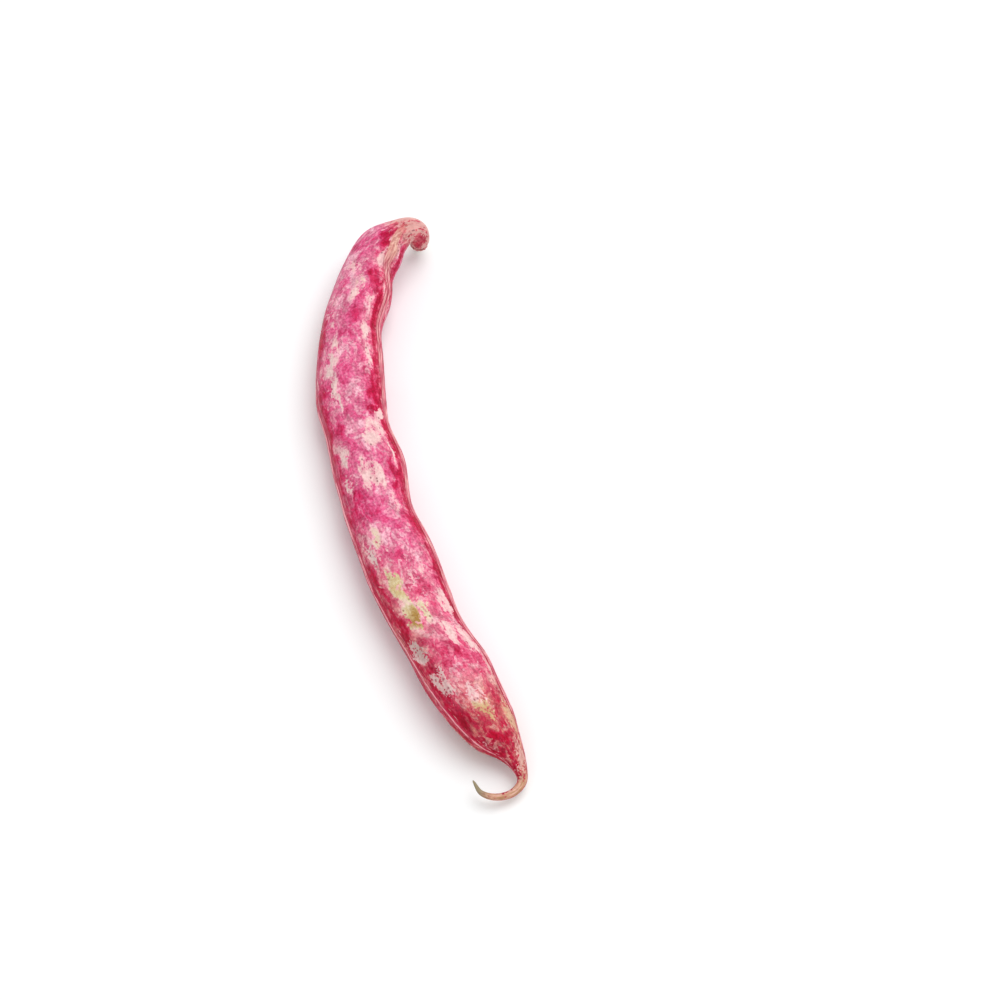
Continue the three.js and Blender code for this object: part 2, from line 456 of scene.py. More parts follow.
climb_travels, climb_turns = zip(*SUTURE_CLIMB)
spread_travels, spreads = zip(*SUTURE_SPREAD)
past_suture = past_ventral - np.interp(travel, climb_travels, climb_turns)
from_suture = np.abs(past_suture)
suture_spread = np.interp(travel, spread_travels, spreads)
from_ventral = np.abs(past_ventral)
past_flank = (past_ventral + 360) % 360
dorsal_shifted = 1 - step_up(travel, *DORSAL_SHIFT_END)
past_dorsal = past_flank - 180 + DORSAL_SHIFT * dorsal_shifted
from_dorsal = np.minimum(np.abs(past_dorsal), 360 - np.abs(past_dorsal))
suture_size = np.minimum(2 * half_breadth / FULL_SUTURE_BREADTH, 1)
lips = LIPS_HEIGHT * np.exp(-((from_suture / LIPS_REACH) ** 4)) + line_along(from_suture, *OUTER_STRAND)
grooves = line_along(from_suture, *MIDDLE_GROOVE) + line_along(from_suture, *SIDE_GROOVE)
ridge = line_along(from_dorsal, *RIDGE) + line_along(from_dorsal, *RIDGE_FOOT)
unevenness = SWELL_HEIGHT * grain(straight / SWELL_SIZE) + DENT_HEIGHT * grain(straight / DENT_SIZE, 7)
wrinkle_zone = np.maximum.reduce(
    [
        hump(from_ventral, 32),
        hump(from_dorsal, 42),
        1 - step_up(travel, *NECK_WRINKLES_END),
        step_up(travel, *BEAK_WRINKLES_START),
    ]
)
wrinkle_zone *= 0.25 + 0.75 * step_up(travel, *NUB_WRINKLES_START)
wrinkles = grain(straight * (0.9, 0.1, 0.9), 3) + 0.6 * grain(straight * (1.9, 0.16, 1.9), 5)
body_share = step_up(suture_size, 0.1, 0.5)
lips_share = 0.4 * step_up(travel, *NECK_LIPS_START) + 0.6 * step_up(travel, *FULL_LIPS_START)
relief = suture_size * lips_share * (lips - grooves + ridge)
relief += suture_size * body_share * (unevenness + WRINKLE_HEIGHT * wrinkle_zone * wrinkles)
carved = straight + outward * relief[:, None]


# The markings are placed one by one. Each patch is its place along the pod, degrees round from
# the middle of the ventral edge, half its length, half its width in degrees, and its strength.
# Bare patches show the pale ground, and yellow, grey and tan ones colour it. Deep ones darken
# the pigment, or thin it where negative, and flecked ones let pale curls through it.
BARE_PATCHES = [
    (11.8, 38, 1.5, 16, 0.9),
    (12.6, 55, 1.6, 7, 0.8),
    (15.0, 17, 5.0, 11, 0.75),
    (15.8, 37, 2.2, 6, 0.6),
    (20.0, 36, 2.6, 8, 0.7),
    (24.5, 86, 2.6, 14, 0.7),
    (29.5, 70, 3.2, 11, 0.6),
    (33.0, 72, 2.4, 10, 0.85),
    (30.0, 112, 6.0, 9, 0.35),
    (38.0, 100, 5.0, 6, 0.3),
    (34.5, 36, 4.5, 5, 0.6),
    (43.0, 42, 3.6, 8, 0.9),
    (51.0, 44, 3.6, 9, 0.8),
    (47.5, 97, 3.4, 5, 0.95),
    (51.5, 106, 2.2, 9, 0.7),
    (55.0, 114, 3.0, 7.5, 0.85),
    (59.5, 111, 3.6, 7, 0.9),
    (64.0, 103, 2.6, 5.5, 0.9),
    (68.5, 42, 2.8, 9, 1.0),
    (72.5, 58, 3.8, 20, 0.7),
    (75.0, 74, 2.4, 12, 1.0),
    (79.0, 43, 3.4, 5, 1.0),
    (85.0, 84, 3.6, 14, 1.0),
    (86.0, 98, 3.0, 9, 0.8),
    (81.5, 97, 2.4, 8, 0.85),
    (78.0, 127, 3.0, 10, 0.95),
    (86.0, 131, 3.0, 15, 0.75),
    (93.0, 68, 3.4, 8, 0.65),
    (100.8, 112, 4.2, 11, 0.7),
    (104.8, 138, 3.4, 12, 0.55),
    (112.5, 73, 2.5, 8, 0.5),
    (114.0, 92, 3.0, 8, 0.5),
    (114.6, 121, 6.2, 11, 1.0),
    (122.2, 123, 4.8, 13, 1.0),
    (122.0, 97, 4.5, 9, 0.62),
    (121.5, 58, 5.0, 13, 0.9),
    (129.5, 82, 3.6, 9, 0.85),
    (131.5, 60, 4.6, 15, 1.0),
    (138.0, 52, 5.0, 9, 0.5),
    (130.4, 156, 3.8, 18, 0.8),
    (139.2, 150, 4.2, 17, 0.75),
    (141.0, 98, 2.8, 9, 0.2),
    (146.8, 109, 5.0, 15, 0.6),
    (152.5, 60, 5.0, 15, 0.95),
    (152.5, 163, 2.2, 10, 0.3),
    (160.5, 82, 4.0, 26, 0.8),
]
DEEP_PATCHES = [
    (5.4, -32, 3.0, 40, 0.5),
    (9.8, 60, 0.8, 30, 0.5),
    (15.0, -12, 5.0, 14, 1.0),
    (22.0, -10, 5.0, 12, 0.8),
    (15.0, 56, 1.8, 10, 0.7),
    (26.0, -18, 8.0, 10, 0.8),
    (13.6, 76, 2.4, 19, 0.75),
    (18.0, 50, 2.4, 9, 0.4),
    (18.5, 112, 2.4, 18, 0.5),
    (27.5, 36, 4.6, 19, 1.0),
    (37.5, 62, 5.0, 20, 0.3),
    (44.0, 134, 6.5, 20, 0.9),
    (50.0, 66, 5.0, 12, 0.25),
    (58.0, 72, 7.0, 12, -0.45),
    (55.0, 92, 4.0, 6, 0.15),
    (59.0, 40, 4.4, 11, 0.75),
    (63.0, 42, 3.0, 12, 1.0),
    (66.0, 148, 7.0, 16, 0.9),
    (70.0, 117, 4.5, 12, 0.5),
    (67.5, 55, 2.2, 8, 1.0),
    (60.0, 135, 10.0, 14, 0.45),
    (82.0, 108, 9.0, 8, 0.2),
    (82.0, 55, 2.5, 6, 0.7),
    (87.0, 46, 4.2, 14, 1.0),
    (91.0, 120, 3.4, 13, 0.65),
    (80.0, 158, 12.0, 20, 0.8),
    (93.0, 117, 4.4, 18, 0.6),
    (97.0, 47, 9.0, 8, -0.1),
    (103.0, 72, 6.0, 15, -0.15),
    (105.0, 118, 2.8, 9, 0.5),
    (113.2, 44, 3.0, 10, 1.0),
    (109.5, 154, 5.0, 14, 0.7),
    (117.0, 80, 3.4, 11, 0.4),
    (124.5, 155, 3.4, 16, 1.0),
    (134.0, 100, 4.0, 25, 0.55),
    (147.0, 70, 3.4, 16, 0.6),
    (155.0, 122, 6.0, 50, 0.65),
    (149.0, 150, 5.0, 16, 0.6),
    (162.5, 140, 3.0, 32, 0.8),
]
YELLOW_PATCHES = [
    (28.5, 68, 2.6, 10, 0.3),
    (101.0, 114, 4.2, 12, 0.4),
    (113.5, 119, 7.0, 18, 0.6),
    (123.2, 121, 4.2, 18, 1.0),
    (121.5, 98, 4.5, 14, 0.5),
    (149.6, 110, 3.6, 17, 0.8),
    (152.5, 60, 6.0, 18, 0.7),
]
GREY_PATCHES = [
    (34.0, 115, 14.0, 22, 0.4),
    (54.0, 116, 10.0, 12, 0.5),
    (63.5, 103, 3.0, 8, 0.5),
    (82.0, 128, 8.0, 18, 0.5),
    (104.8, 131, 4.0, 14, 0.8),
    (130.0, 147, 5.0, 22, 1.0),
    (139.5, 150, 5.0, 22, 0.55),
]
TAN_PATCHES = [
    (16.0, 16, 7.0, 16, 1.0),
    (160.0, 75, 6.0, 40, 0.9),
    (153.0, 58, 5.0, 14, 0.5),
    (140.0, 50, 6.0, 12, 0.5),
]
FLECKED_PATCHES = [
    (12.0, 85, 3.0, 60, 0.75),
    (24.5, 92, 3.6, 45, 1.0),
    (34.0, 40, 6.0, 12, 0.9),
    (37.0, 122, 14.0, 28, 0.75),
    (58.0, 48, 6.0, 16, 0.7),
    (60.0, 112, 10.0, 22, 0.55),
    (76.0, 80, 9.0, 32, 0.5),
    (104.0, 138, 9.0, 22, 0.8),
    (112.0, 92, 8.0, 26, 0.9),
    (122.0, 105, 6.0, 22, 0.7),
    (128.0, 52, 10.0, 16, 0.6),
    (143.0, 112, 8.0, 48, 0.9),
    (156.0, 110, 6.0, 80, 0.75),
]

# The hidden side has bare and deep patches by turns, each value drawn between these two.
HIDDEN_PATCHES = 48
HIDDEN_PATCH_SPANS = [(14, 152), (-165, -20), (1.8, 5.0), (6, 18), (0.5, 1.0)]
PATCH_SEED = 12

lottery = random.Random(PATCH_SEED)
for number in range(HIDDEN_PATCHES):
    chosen = (BARE_PATCHES, DEEP_PATCHES)[number % 2]
    chosen.append(tuple(lottery.uniform(low, high) for low, high in HIDDEN_PATCH_SPANS))

travel_wander = 1.3 * grain(straight * (0.45, 0.2, 0.45), 11) + 0.5 * grain(straight * (1.2, 0.6, 1.2), 13)
turn_wander = 10 * grain(straight * (0.4, 0.25, 0.4), 17) + 5 * grain(straight * (1.2, 0.6, 1.2), 19)


def patch_cover(patch):
    """How much of a patch lies at each point, from 0 to 1, with a wandering outline."""
    place, turn, half_length, half_width, _ = patch
    beside = (turned + turn_wander - turn + 180) % 360 - 180
    distance = ((travel + travel_wander - place) / half_length) ** 2 + (beside / half_width) ** 2
    return np.exp(-(distance**2))


def strongest(patches, widening=1.0):
    """The strongest cover at each point, with each patch's soft edge widened below 1."""
    return np.maximum.reduce([patch_cover(patch) ** widening * patch[4] for patch in patches])


deep_covers = np.array([patch_cover(patch) for patch in DEEP_PATCHES])
deep_strengths = np.array([patch[4] for patch in DEEP_PATCHES])
deep = (deep_covers * deep_strengths[:, None]).sum(axis=0) / np.maximum(deep_covers.sum(axis=0), 1)

# Where the pod's parts begin and end, as the travels over which each fades in or out.
SEAM_START = (7, 13)
NUB_END = (8, 12)
NECK_END = (9, 14)
PEACH_END = (12, 26)
BODY_START = (20, 34)
BODY_END = (140, 156)
LAST_CHAMBER_START = (126, 134)
DRY_START = (136, 150)
BEAK_START = (156, 166)
PIGMENT_END = (163, 168)
TIP_START = (172.5, 176.5)

beak = step_up(travel, *BEAK_START)
beak_inside = step_up(from_ventral, 100, 150)
neck = 1 - step_up(travel, *NECK_END)
on_body = step_up(travel, *BODY_START) * (1 - step_up(travel, *BODY_END))
suture_wander = 1.6 * grain(straight * (0, 0.22, 0), 47) + 0.8 * grain(straight * (0, 0.9, 0), 53)
dorsal_spread = 0.85 + 0.55 * dorsal_shifted

# Strips of deeper pigment lie beside the ventral suture and on the dorsal flank, the flank's
# strip partly painted shade. Painted shade darkens both sides of the dorsal ridge, along the
# pod's edge. The nub at the neck's end is bare round its one deep patch.
beside_suture = hump(from_suture - 16, 9) * (0.9 + 0.6 * grain(straight * (0.3, 0.12, 0.3), 41))
beside_suture *= on_body * (1 - 0.8 * step_up(travel, *LAST_CHAMBER_START))
# Partly painted shade: deeper pigment darkens the dorsal flank.
shaded_dark_flank = 0.4 * step_up(travel, 26, 36) + 0.25 * step_up(travel, 40, 50)
shaded_dark_flank *= hump(past_flank - 162, 30)
# Painted shade along the pod's dorsal edge, as deeper pigment on both sides of the ridge.
painted_ridge_edge_shade = 0.9 * np.maximum(hump(past_dorsal - 14, 11), hump(past_dorsal + 9, 7))
painted_ridge_edge_shade *= step_up(travel, *BODY_START)
deep = np.maximum.reduce([deep, beside_suture, shaded_dark_flank, painted_ridge_edge_shade])
deep *= 1 - step_up(travel, *PIGMENT_END)
nub = (1 - step_up(travel, *NUB_END)) * (0.8 - 0.95 * patch_cover(DEEP_PATCHES[0]))
bare = np.maximum.reduce(
    [
        strongest(BARE_PATCHES),
        0.45 * neck * (nub > 0.5),
        nub,
        beak * (0.8 - 0.5 * beak_inside),
    ]
)
flecked = np.maximum(strongest(FLECKED_PATCHES, 0.6), 0.6 * hump(past_flank - 270, 80))

# The pigment is redder near the suture, past mid length and where it is deepest, and duller
# in the last chamber and at the neck. On the lower dorsal flank it is duller and darker, partly
# as painted shade.
redder_half = 0.5 * step_up(travel, 98, 120)
# Partly painted shade: the lower dorsal flank is duller and darker.
dry_and_shaded_flank = 0.5 * step_up(travel, 20, 40) + 0.35 * step_up(travel, 92, 120)
dry_and_shaded_flank *= hump(past_flank - 168, 46)
warm_parts = [0.9 * hump(from_suture, 36), redder_half, neck, 0.45 * step_up(deep, 0.7, 0.95)]
SKIN_MARKS = {
    "bare": bare - 0.35 * np.clip(deep, 0, 1) * (1 - bare),
    "deep": np.clip(deep, -1, 1),
    "halo": strongest(BARE_PATCHES, 0.3) * (1 - step_up(deep, 0.3, 0.8)),
    "flecked": flecked * (1 - nub) * (1 - beak) * (1 - 0.8 * step_up(deep, 0.6, 0.9)),
    "wrinkled": wrinkle_zone,
    "yellow": np.maximum(strongest(YELLOW_PATCHES), 0.35 * beak),
    "grey": strongest(GREY_PATCHES),
    "tan": np.maximum.reduce([strongest(TAN_PATCHES), neck, beak]),
    "warm": np.maximum.reduce(warm_parts),
    "dry_and_shaded": np.maximum.reduce([dry_and_shaded_flank, step_up(travel, *DRY_START), 0.5 * neck]),
    "beak": beak,
    "tip": step_up(travel, *TIP_START),
    "neck": 1 - step_up(travel, *PEACH_END),
    "seam": step_up(travel, *SEAM_START),
    "past_suture": np.clip(past_suture / suture_spread + suture_wander, -60, 60),
    "past_dorsal": np.clip((past_dorsal + 4 * dorsal_shifted + suture_wander) / dorsal_spread, -60, 60),
}


def keep_mark(mesh, name, values):
    """Keeps a number at each point of the mesh, for its material to read."""
    mesh.attributes.new(name, "FLOAT", "POINT").data.foreach_set("value", values.astype(np.float32))


def keep_grown_place(mesh, points):
    """Keeps each point's place on the straight piece, for the material's patterns."""
    grown_place = mesh.attributes.new("grown_place", "FLOAT_VECTOR", "POINT")
    grown_place.data.foreach_set("vector", points.astype(np.float32).ravel())


for mark_name, mark_values in SKIN_MARKS.items():
    keep_mark(mottled_pod.data, mark_name, mark_values)
keep_grown_place(mottled_pod.data, straight)


# Bending: each point goes from the straight pod to the frame at its travel, and whatever
# would sink below the table is laid flat on it.
def bent(points, line):
    """Points of a straight piece carried on to a line, and straight on past its ends."""
    line_travel, middle, along, side, face = line
    inside = np.clip(-points[:, 1], 0, line_travel[-1])
    spots, ahead, right, up = (
        np.stack([np.interp(inside, line_travel, values[:, i]) for i in range(3)], axis=1)
        for values in (middle, along, side, face)
    )
    past = (-points[:, 1] - inside)[:, None]
    return (
        spots
        + ahead / length_of(ahead) * past
        + right / length_of(right) * points[:, 0:1]
        + up / length_of(up) * points[:, 2:3]
    )


lying = bent(carved, pod_line)
lying[:, 2] = np.maximum(lying[:, 2], cad_low[2] / MM)
write_points(mottled_pod.data, lying)


# Pod skin: bare cream ground, yellow or grey in places, under a pink to crimson pigment that
# thins out in feathery blotches and flecks, with fine dark stipple where the ground is bare.
pod_skin, skin_shader = finish("pod_skin")


def mark(name):
    return node(pod_skin, "Attribute", attribute_name=name).outputs["Fac"]


def added(material, *terms):
    total = terms[0]
    for term in terms[1:]:
        total = node(material, "Math", {0: total, 1: term}, operation="ADD").outputs[0]
    return total


def scaled(material, value, factor, shift=0.0):
    return node(material, "Math", {0: value, 1: factor, 2: shift}, operation="MULTIPLY_ADD").outputs[0]


def swing(material, noise_value, reach):
    """Noise made to swing about 0, up to about this reach."""
    return scaled(material, noise_value, 2 * reach, -reach)


def times(material, one, other):
    return node(material, "Math", {0: one, 1: other}, operation="MULTIPLY", use_clamp=True).outputs[0]


def blended(material, share, one, other, blend_type="MIX"):
    sockets = {"Fac": share, "Color1": one, "Color2": other}
    return node(material, "MixRGB", sockets, blend_type=blend_type).outputs["Color"]


def rising(material, value, low, high):
    """Smoothly from 0 at low to 1 at high, or falling where high is the lower of the two."""
    sockets = {"Value": value, "From Min": low, "From Max": high}
    return node(material, "MapRange", sockets, interpolation_type="SMOOTHSTEP").outputs["Result"]


def band(material, value, middle, half_width, soft):
    """1 within half_width of the middle, falling to 0 over the soft edge."""
    off = node(material, "Math", {0: value, 1: middle}, operation="SUBTRACT").outputs[0]
    distance = node(material, "Math", {0: off}, operation="ABSOLUTE").outputs[0]
    return rising(material, distance, half_width + soft, half_width)


def ramp(material, value, *stops):
    """Colours along a value, as (place, colour) stops."""
    made = node(material, "ValToRGB", {"Fac": value})
    while len(made.color_ramp.elements) < len(stops):
        made.color_ramp.elements.new(0.5)
    for element, (place, colour) in zip(made.color_ramp.elements, stops):
        element.position = place
        element.color = paint(colour)
    return made.outputs["Color"]


def stretched(material, place, size, stretch, shift=0.0):
    """The place on a piece, scaled so that a pattern's cell has this size in millimetres."""
    sockets = {
        "Vector": place,
        "Location": (shift, 0, 0),
        "Scale": (1 / size, 1 / (size * stretch), 1 / size),
    }
    return node(material, "Mapping", sockets).outputs["Vector"]


def mottle(material, place, size, stretch, detail=2.0, roughness=0.5, distortion=0.0, shift=0.0):
    """Noise with spots of this size in millimetres, drawn out along the piece."""
    sockets = {
        "Vector": stretched(material, place, size, stretch, shift),
        "Scale": 1.0,
        "Detail": detail,
        "Roughness": roughness,
        "Distortion": distortion,
    }
    return node(material, "TexNoise", sockets).outputs["Fac"]


skin_place = node(pod_skin, "Attribute", attribute_name="grown_place").outputs["Vector"]
blotches = mottle(pod_skin, skin_place, size=3.6, stretch=2.0, detail=3, distortion=0.4)
flecks = mottle(
    pod_skin, skin_place, size=1.1, stretch=2.6, detail=3, roughness=0.6, distortion=0.5, shift=31
)
speckle = mottle(pod_skin, skin_place, size=0.46, stretch=1.3, detail=2, roughness=0.6, shift=57)
streaks = mottle(pod_skin, skin_place, size=0.8, stretch=8, detail=2, shift=11)
clouds = mottle(
    pod_skin, skin_place, size=2.6, stretch=1.5, detail=5, roughness=0.62, distortion=0.8, shift=191
)
pale_clouds = rising(pod_skin, clouds, 0.52, 0.58)
dark_clouds = rising(pod_skin, clouds, 0.46, 0.41)
deep_reach = added(pod_skin, mark("deep"), swing(pod_skin, blotches, 0.15), swing(pod_skin, flecks, 0.35))
deep_core = rising(pod_skin, deep_reach, 0.5, 0.76)
pigment = added(
    pod_skin,
    scaled(pod_skin, mark("deep"), 0.26, 0.36),
    scaled(pod_skin, deep_core, 0.15),
    scaled(pod_skin, mark("halo"), -0.15),
    scaled(pod_skin, pale_clouds, -0.2),
    scaled(pod_skin, dark_clouds, 0.14),
    swing(pod_skin, blotches, 0.2),
    swing(pod_skin, flecks, 0.22),
    swing(pod_skin, speckle, 0.18),
    scaled(pod_skin, mark("wrinkled"), swing(pod_skin, streaks, 0.6)),
)
cool_pigment = ramp(
    pod_skin,
    pigment,
    (0.04, "#F8C2D0"),
    (0.22, "#EA92AC"),
    (0.41, "#E46694"),
    (0.60, "#D63C70"),
    (0.80, "#CC1450"),
    (1.00, "#BC1042"),
)
warm_pigment = ramp(
    pod_skin,
    pigment,
    (0.04, "#F4BCBE"),
    (0.22, "#EC8A96"),
    (0.41, "#E25A74"),
    (0.60, "#CA2C4C"),
    (0.80, "#B60834"),
    (1.00, "#A8062A"),
)
dry_and_shaded_pigment = ramp(
    pod_skin,
    pigment,
    (0.04, "#E2AC8E"),
    (0.22, "#D48678"),
    (0.41, "#C85E62"),
    (0.60, "#C22E4C"),
    (0.80, "#BE0E34"),
    (1.00, "#B2042A"),
)
pigment_colour = blended(pod_skin, mark("warm"), cool_pigment, warm_pigment)
pigment_colour = blended(pod_skin, mark("dry_and_shaded"), pigment_colour, dry_and_shaded_pigment)
bareness = added(
    pod_skin,
    mark("bare"),
    swing(pod_skin, blotches, -0.5),
    swing(pod_skin, flecks, -1.0),
    swing(pod_skin, speckle, -0.5),
    scaled(pod_skin, mark("dry_and_shaded"), swing(pod_skin, speckle, -0.8)),
)
bare_share = rising(pod_skin, bareness, 0.36, 0.60)
ground_colour = ramp(pod_skin, bareness, (0.42, "#F2AABA"), (0.64, "#ECB7B9"), (0.95, "#EFCAC7"))
yellow = added(
    pod_skin,
    mark("yellow"),
    swing(pod_skin, blotches, 0.2),
    swing(pod_skin, flecks, 0.3),
    swing(pod_skin, speckle, 0.3),
)
yellow_ground = ramp(pod_skin, yellow, (0.45, "#E0D4B0"), (0.7, "#CDB884"), (1.0, "#A8823E"))
yellow_ground = blended(pod_skin, scaled(pod_skin, mark("dry_and_shaded"), 0.6), yellow_ground, paint("#CE9E74"))
ground_colour = blended(pod_skin, rising(pod_skin, yellow, 0.1, 0.5), ground_colour, yellow_ground)
grey_ground = blended(pod_skin, mark("dry_and_shaded"), paint("#D8C6C0"), paint("#BE9E98"))
ground_colour = blended(pod_skin, mark("grey"), ground_colour, grey_ground)
beak_streaks = mottle(pod_skin, skin_place, size=0.45, stretch=9, detail=2, shift=61)
beak_tan = ramp(pod_skin, beak_streaks, (0.34, "#A87C4C"), (0.46, "#CC987A"), (0.60, "#DCAC98"))
tan_colour = blended(pod_skin, mark("beak"), paint("#DAA098"), beak_tan)
ground_colour = blended(pod_skin, scaled(pod_skin, mark("tan"), 0.85), ground_colour, tan_colour)
skin_colour = blended(pod_skin, bare_share, pigment_colour, ground_colour)

# Pale curling strokes break through the pigment in flecked places, and painted shade of short
# creases lies over the rest as dark lines.
curls = mottle(
    pod_skin, skin_place, size=1.4, stretch=1.4, detail=3, roughness=0.6, distortion=0.6, shift=131
)
flecked_reach = scaled(pod_skin, mark("flecked"), 0.15, -0.15)
pale_curls = rising(pod_skin, added(pod_skin, curls, flecked_reach), 0.53, 0.58)
pale_curls = times(pod_skin, pale_curls, rising(pod_skin, mark("flecked"), 0.1, 0.5))
curl_colour = blended(pod_skin, mark("dry_and_shaded"), paint("#F8B6C4"), paint("#DA928C"))
skin_colour = blended(pod_skin, scaled(pod_skin, pale_curls, 0.8), skin_colour, curl_colour)
# Painted shade: dark crease lines, which the relief doesn't follow.
crease_shade_parts = mottle(pod_skin, skin_place, size=5.0, stretch=1.5, detail=1, shift=151)
crease_shade_lines = mottle(pod_skin, skin_place, size=1.0, stretch=2.4, detail=1, distortion=0.8, shift=171)
painted_crease_shade = band(pod_skin, crease_shade_lines, 0.5, 0.015, 0.03)
painted_crease_shade = times(pod_skin, painted_crease_shade, rising(pod_skin, crease_shade_parts, 0.55, 0.40))
skin_colour = blended(pod_skin, scaled(pod_skin, painted_crease_shade, 0.2), skin_colour, paint("#A87A84"), "MULTIPLY")

# Dark stipple dots the bare ground, and a fine grain shades the pigment. Painted shade of soft
# dents darkens it in blotches, though the relief has no such dents.
stipple_place = {"Vector": stretched(pod_skin, skin_place, 1.0, 1.4), "Scale": 1.0}
stipple_cells = node(pod_skin, "TexVoronoi", stipple_place)
stipple_lots = node(pod_skin, "SeparateColor", {"Color": stipple_cells.outputs["Color"]}).outputs["Red"]
stipple_dots = rising(pod_skin, stipple_cells.outputs["Distance"], 0.28, 0.14)
stipple_lots = added(pod_skin, stipple_lots, scaled(pod_skin, mark("warm"), 0.15))
stipple_dots = times(pod_skin, stipple_dots, rising(pod_skin, stipple_lots, 0.52, 0.6))
stipple = times(pod_skin, stipple_dots, scaled(pod_skin, bare_share, 0.7, 0.06))
smooth_share = added(pod_skin, mark("beak"), scaled(pod_skin, mark("yellow"), 0.3))
stipple = times(pod_skin, stipple, scaled(pod_skin, smooth_share, -1.0, 1.0))
stipple_colour = blended(pod_skin, mark("yellow"), paint("#8E4C58"), paint("#8A4A22"))
skin_colour = blended(pod_skin, stipple, skin_colour, stipple_colour)
fine_grain = mottle(pod_skin, skin_place, size=0.5, stretch=1.2, detail=2, shift=73)
fine_shade = ramp(pod_skin, fine_grain, (0.36, "#DACAD2"), (0.58, "#FFFFFF"))
clean_share = node(pod_skin, "Math", {0: bare_share, 1: mark("yellow")}, operation="MAXIMUM").outputs[0]
shade_share = scaled(pod_skin, clean_share, -0.55, 1.0)
skin_colour = blended(pod_skin, shade_share, skin_colour, fine_shade, "MULTIPLY")
# Painted shade: blotches about 2 mm across, darkened as if they were soft dents.
dent_shade_noise = mottle(pod_skin, skin_place, size=1.8, stretch=2.0, detail=3, shift=231)
painted_dent_shade = ramp(pod_skin, dent_shade_noise, (0.32, "#E2D8DA"), (0.54, "#FFFFFF"))
skin_colour = blended(pod_skin, shade_share, skin_colour, painted_dent_shade, "MULTIPLY")

# The ventral suture shows as pale strands with fine dark grooves between them, peach at the
# neck and salmon pink further on, and the dorsal one as a thin pale ridge between crimson strips
# of painted shade.
suture_streaks = mottle(pod_skin, skin_place, size=0.5, stretch=12, shift=83)
suture_pink = ramp(pod_skin, suture_streaks, (0.36, "#C2526A"), (0.48, "#E08694"), (0.62, "#F4B8B6"))
suture_peach = ramp(pod_skin, suture_streaks, (0.36, "#B87870"), (0.48, "#D29A88"), (0.62, "#E8BCA8"))
suture_colour = blended(pod_skin, mark("neck"), suture_pink, suture_peach)
past_suture_mark = mark("past_suture")
suture_strands = times(pod_skin, band(pod_skin, past_suture_mark, 0, 7.0, 1.5), mark("seam"))
groove_lines = added(
    pod_skin,
    band(pod_skin, past_suture_mark, 0, 0.9, 1.2),
    scaled(pod_skin, band(pod_skin, past_suture_mark, 5, 0.5, 1.1), 0.7),
    scaled(pod_skin, band(pod_skin, past_suture_mark, -5, 0.5, 1.1), 0.7),
    scaled(pod_skin, band(pod_skin, past_suture_mark, 9.2, 0.8, 1.6), 0.8),
    scaled(pod_skin, band(pod_skin, past_suture_mark, -9.2, 0.8, 1.6), 0.8),
)
skin_colour = blended(pod_skin, scaled(pod_skin, suture_strands, 0.9), skin_colour, suture_colour)
past_dorsal_mark = mark("past_dorsal")
# Painted shade: a crimson strip over the dorsal ridge's edges.
painted_dorsal_edge_shade = times(pod_skin, band(pod_skin, past_dorsal_mark, 0, 4.5, 2.0), mark("seam"))
skin_colour = blended(pod_skin, scaled(pod_skin, painted_dorsal_edge_shade, 0.5), skin_colour, paint("#B8284C"))
dorsal_ridge = times(pod_skin, band(pod_skin, past_dorsal_mark, 0, 1.2, 1.1), mark("seam"))
dorsal_ridge = times(pod_skin, dorsal_ridge, rising(pod_skin, suture_streaks, 0.30, 0.50))
dorsal_strand = times(pod_skin, band(pod_skin, past_dorsal_mark, -9, 0.8, 1.2), mark("seam"))
dorsal_strand = times(pod_skin, dorsal_strand, rising(pod_skin, suture_streaks, 0.50, 0.62))
dorsal_share = added(pod_skin, scaled(pod_skin, dorsal_ridge, 0.85), scaled(pod_skin, dorsal_strand, 0.5))
skin_colour = blended(pod_skin, dorsal_share, skin_colour, paint("#FAB0B8"))
groove_strength = scaled(pod_skin, mark("neck"), -0.45, 0.7)
grooves_share = times(pod_skin, times(pod_skin, groove_lines, groove_strength), mark("seam"))
skin_colour = blended(pod_skin, grooves_share, skin_colour, paint("#96303F"))
skin_colour = blended(pod_skin, scaled(pod_skin, mark("tip"), 0.9), skin_colour, paint("#8C8468"))

leather_cells = {"Vector": stretched(pod_skin, skin_place, 0.45, 1.5), "Scale": 1.0}
leather = node(pod_skin, "TexVoronoi", leather_cells, feature="DISTANCE_TO_EDGE").outputs["Distance"]
fine_wrinkles = mottle(pod_skin, skin_place, size=0.5, stretch=5, detail=3, roughness=0.6, shift=101)
skin_height = added(
    pod_skin,
    scaled(pod_skin, rising(pod_skin, leather, 0.0, 0.18), 0.4),
    scaled(pod_skin, fine_wrinkles, 1.6),
    speckle,
)
skin_bump = node(pod_skin, "Bump", {"Height": skin_height, "Distance": 0.05 * MM, "Strength": 0.6})
skin_surface = {
    "Base Color": skin_colour,
    "Normal": skin_bump.outputs["Normal"],
    "Roughness": scaled(pod_skin, flecks, 0.2, 0.3),
    "Specular IOR Level": 0.09,
}
plug(pod_skin, skin_shader, skin_surface)
mottled_pod.data.materials.clear()
mottled_pod.data.materials.append(pod_skin)
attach(mottled_pod, "root")
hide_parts("pod")


# The calyx is the dried cup of the old flower round the neck end, with five short pointed
# lobes. It is modelled standing on the straight pod's end, its base away from the pod, as a
# wall that goes up outside, over the lobed rim and down inside, and is bent on with the pod.

